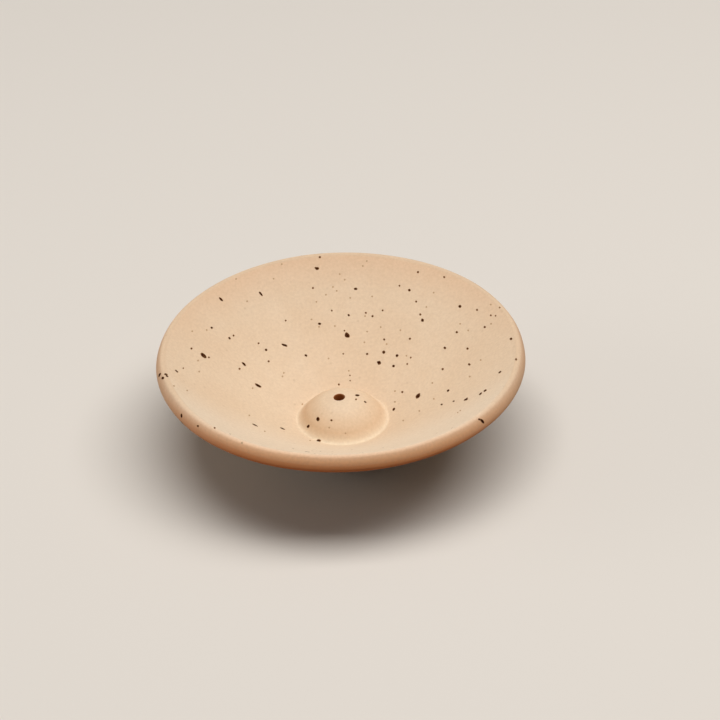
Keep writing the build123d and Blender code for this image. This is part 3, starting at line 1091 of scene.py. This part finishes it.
def floor_finish(stage):
    """A plain floor: pale to the camera, and darker in the light that it throws back, which is warm in front.

    Far from the dish, the camera sees it pass into the backdrop.
    """
    material = bpy.data.materials.new("plain_floor")
    nodes = Nodes(material)
    place = nodes.add("ShaderNodeTexCoord").outputs["Object"]
    near = nodes.add("ShaderNodeBsdfDiffuse", Color=rgba(stage.floor)).outputs[0]
    far = nodes.add("ShaderNodeEmission", Color=rgba(stage.backdrop)).outputs[0]
    fade = nodes.ramp(nodes.axis_distance(place, 0), FADE_START, FADE_FULL)
    pale = nodes.add("ShaderNodeMixShader", _0=fade, _1=near, _2=far).outputs[0]
    depth = nodes.add("ShaderNodeSeparateXYZ", Vector=place).outputs["Y"]
    front = nodes.ramp(depth, BOUNCE_START, BOUNCE_FULL)
    thrown = nodes.mixed(front, rgba(stage.bounce), rgba(stage.front_bounce))
    dull = nodes.add("ShaderNodeBsdfDiffuse", Color=thrown).outputs[0]
    mix = nodes.add("ShaderNodeMixShader", _0=seen_rays(nodes), _1=dull, _2=pale)
    nodes.add("ShaderNodeOutputMaterial", Surface=mix.outputs[0])
    return material


def seen_rays(nodes):
    """One for rays from the camera, straight, mirrored or through glass, and nought for the rest."""
    path = nodes.add("ShaderNodeLightPath").outputs
    kinds = ("Is Camera Ray", "Is Glossy Ray", "Is Transmission Ray")
    return nodes.math("MAXIMUM", *(path[kind] for kind in kinds))


# Pieces


def make_piece(name, surface, material, nodes, unevenness):
    """A finished piece at the origin, which rides on the frame and stands for its nodes."""
    points, faces = surface
    mesh = bpy.data.meshes.new(name)
    mesh.from_pydata(hand_warp(points, unevenness), [], faces)
    if mesh.validate():
        raise RuntimeError(f"{name} has faces that don't hold together")
    mesh.shade_smooth()
    mesh.set_sharp_from_angle(angle=FOLD)
    mesh.materials.append(material)
    piece = bpy.data.objects.new(name, mesh)
    bpy.context.scene.collection.objects.link(piece)
    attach(piece, "root")
    if nodes:
        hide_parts(*nodes)
    return piece


class HOLDER_OT_dish(bpy.types.Operator):
    """Make the thrown dish with its thick rounded lip"""

    bl_idname = "holder.dish"
    bl_label = "Thrown dish"

    def execute(self, context):
        sizes = context.scene.holder_sizes
        surface = closed_surface(turned(Shape(sizes).dish(), DISH_TURNS), False)
        finish = thrown_clay(context.scene.holder_colours)
        make_piece("thrown_dish", surface, finish, ["dish"], sizes.unevenness)
        return {"FINISHED"}


class HOLDER_OT_boss(bpy.types.Operator):
    """Make the domed boss with its blind stick hole"""

    bl_idname = "holder.boss"
    bl_label = "Domed boss"

    def execute(self, context):
        sizes = context.scene.holder_sizes
        surface = closed_surface(boss_grid(Shape(sizes)), False)
        finish = dark_hole_clay(context.scene.holder_colours)
        make_piece("domed_boss", surface, finish, ["stick_boss"], sizes.unevenness)
        return {"FINISHED"}


class HOLDER_OT_boss_cove(bpy.types.Operator):
    """Make the bed of slip under the boss, wiped to a cove round it"""

    bl_idname = "holder.boss_cove"
    bl_label = "Boss cove"

    def execute(self, context):
        sizes = context.scene.holder_sizes
        surface = closed_surface(turned(Shape(sizes).slip(), DISH_TURNS), False)
        finish = wiped_slip(context.scene.holder_colours)
        make_piece("boss_cove", surface, finish, ["boss_slip"], sizes.unevenness)
        return {"FINISHED"}


class HOLDER_OT_foot(bpy.types.Operator):
    """Make the foot ring and the slip that beds it"""

    bl_idname = "holder.foot"
    bl_label = "Foot ring"

    def execute(self, context):
        sizes, colours = context.scene.holder_sizes, context.scene.holder_colours
        shape = Shape(sizes)
        ring = closed_surface(turned(shape.foot(), FOOT_TURNS), True)
        finish = thrown_clay(colours)
        make_piece("turned_foot", ring, finish, ["foot_ring"], sizes.unevenness)
        bed = closed_surface(turned(shape.foot_slip(), FOOT_TURNS), True)
        finish = wiped_slip(colours)
        make_piece("foot_cove", bed, finish, ["foot_slip"], sizes.unevenness)
        return {"FINISHED"}


class HOLDER_OT_specks(bpy.types.Operator):
    """Make the iron specks in the clay"""

    bl_idname = "holder.specks"
    bl_label = "Iron specks"

    def execute(self, context):
        sizes, stage = context.scene.holder_sizes, context.scene.holder_stage
        shape = Shape(sizes)
        shown = photographed_specks(shape, stage)
        strewn = scattered_specks(shape, stage, sizes.strewn_specks)
        specks = [np.concatenate(pair) for pair in zip(shown, strewn)]
        points, faces, darkness = speck_surface(shape, specks)
        finish = speck_finish(context.scene.holder_colours)
        piece = make_piece("iron_specks", (points, faces), finish, [], sizes.unevenness)
        stain = piece.data.attributes.new("darkness", "FLOAT", "POINT")
        stain.data.foreach_set("value", darkness)
        return {"FINISHED"}


class HOLDER_OT_stage(bpy.types.Operator):
    """Set up the floor, the light and the camera"""

    bl_idname = "holder.stage"
    bl_label = "Stage"

    def execute(self, context):
        stage = context.scene.holder_stage
        lay_floor(stage)
        key_size, side_size = (stage.key_width, stage.key_depth), (stage.side_width, stage.side_width)
        hang_light("key", stage, stage.key_level, key_size, stage.key_right, -stage.key_front)
        hang_light("side", stage, stage.side_level, side_size, -stage.side_left, 0)
        light_world(stage)
        place_camera(stage)
        context.scene.view_settings.view_transform = "Standard"
        return {"FINISHED"}


def lay_floor(stage):
    """A flat square floor that the foot ring stands on."""
    mesh = bpy.data.meshes.new("floor")
    corners = FLOOR_HALF * np.array(((-1, -1, 0), (1, -1, 0), (1, 1, 0), (-1, 1, 0)))
    mesh.from_pydata(corners, [], [(0, 1, 2, 3)])
    mesh.materials.append(floor_finish(stage))
    floor = bpy.data.objects.new("floor", mesh)
    bpy.context.scene.collection.objects.link(floor)


def hang_light(name, stage, level, size, right, back):
    """A broad soft light. White that faces it, at the dish, is about as bright as the level says."""
    lamp = bpy.data.lights.new(name, "AREA")
    lamp.shape = "RECTANGLE"
    lamp.size, lamp.size_y = size
    lamp.energy = level * (pi * stage.light_distance) ** 2
    light = bpy.data.objects.new(name, lamp)
    way = Vector((tan(right), tan(back), 1)).normalized()
    across = Vector((1, 0, 0))
    across = (across - way * across.dot(way)).normalized()
    turn = Matrix((across, way.cross(across), way)).transposed().to_4x4()
    light.matrix_world = Matrix.Translation(way * stage.light_distance) @ turn
    bpy.context.scene.collection.objects.link(light)


def light_world(stage):
    """Even light from all round, with the backdrop's colour where the camera sees past the floor."""
    world = bpy.data.worlds.new("studio")
    nodes = Nodes(world)
    fill = nodes.add("ShaderNodeBackground", Color=(1, 1, 1, 1), Strength=stage.fill_level).outputs[0]
    backdrop = nodes.add("ShaderNodeBackground", Color=rgba(stage.backdrop)).outputs[0]
    mix = nodes.add("ShaderNodeMixShader", _0=seen_rays(nodes), _1=fill, _2=backdrop)
    nodes.add("ShaderNodeOutputWorld", Surface=mix.outputs[0])
    bpy.context.scene.world = world


def place_camera(stage):
    """The camera at the photograph's angle, with its lens and shift from the scale and place of the aim."""
    camera = bpy.data.cameras.new("camera")
    camera.sensor_width = SENSOR_WIDTH / MM
    camera.lens = PIXELS_PER_METRE * stage.camera_distance * camera.sensor_width / PICTURE_SIDE
    camera.shift_x = 0.5 - AIM_ACROSS / PICTURE_SIDE
    camera.shift_y = AIM_DOWN / PICTURE_SIDE - 0.5
    camera.clip_start = CLIP_START
    holder = bpy.data.objects.new("camera", camera)
    turn = Matrix(camera_axes(stage).T.tolist()).to_4x4()
    holder.matrix_world = Matrix.Translation(camera_place(stage)) @ turn
    bpy.context.scene.collection.objects.link(holder)
    bpy.context.scene.camera = holder


class HOLDER_PT_pieces(bpy.types.Panel):
    """Lists the holder's pieces and settings"""

    bl_idname = "HOLDER_PT_pieces"
    bl_label = "Incense Holder"
    bl_space_type = "VIEW_3D"
    bl_region_type = "UI"
    bl_category = "Incense Holder"

    def draw(self, context):
        for operator in OPERATORS:
            self.layout.operator(operator.bl_idname)
        for name, kind in SETTINGS.items():
            box = self.layout.box()
            for setting in kind.__annotations__:
                box.prop(getattr(context.scene, name), setting)


SETTINGS = {"holder_sizes": HolderSizes, "holder_colours": HolderColours, "holder_stage": HolderStage}
OPERATORS = (
    HOLDER_OT_dish, HOLDER_OT_boss, HOLDER_OT_boss_cove, HOLDER_OT_foot, HOLDER_OT_specks, HOLDER_OT_stage
)
CLASSES = (*SETTINGS.values(), *OPERATORS, HOLDER_PT_pieces)


def register():
    for kind in CLASSES:
        bpy.utils.register_class(kind)
    for name, kind in SETTINGS.items():
        setattr(bpy.types.Scene, name, PointerProperty(type=kind))


def unregister():
    for name in SETTINGS:
        delattr(bpy.types.Scene, name)
    for kind in reversed(CLASSES):
        bpy.utils.unregister_class(kind)


def main():
    """Makes every piece and the stage in order."""
    register()
    for operator in OPERATORS:
        group, name = operator.bl_idname.split(".")
        getattr(getattr(bpy.ops, group), name)()
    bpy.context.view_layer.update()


if __name__ == "__main__":
    main()
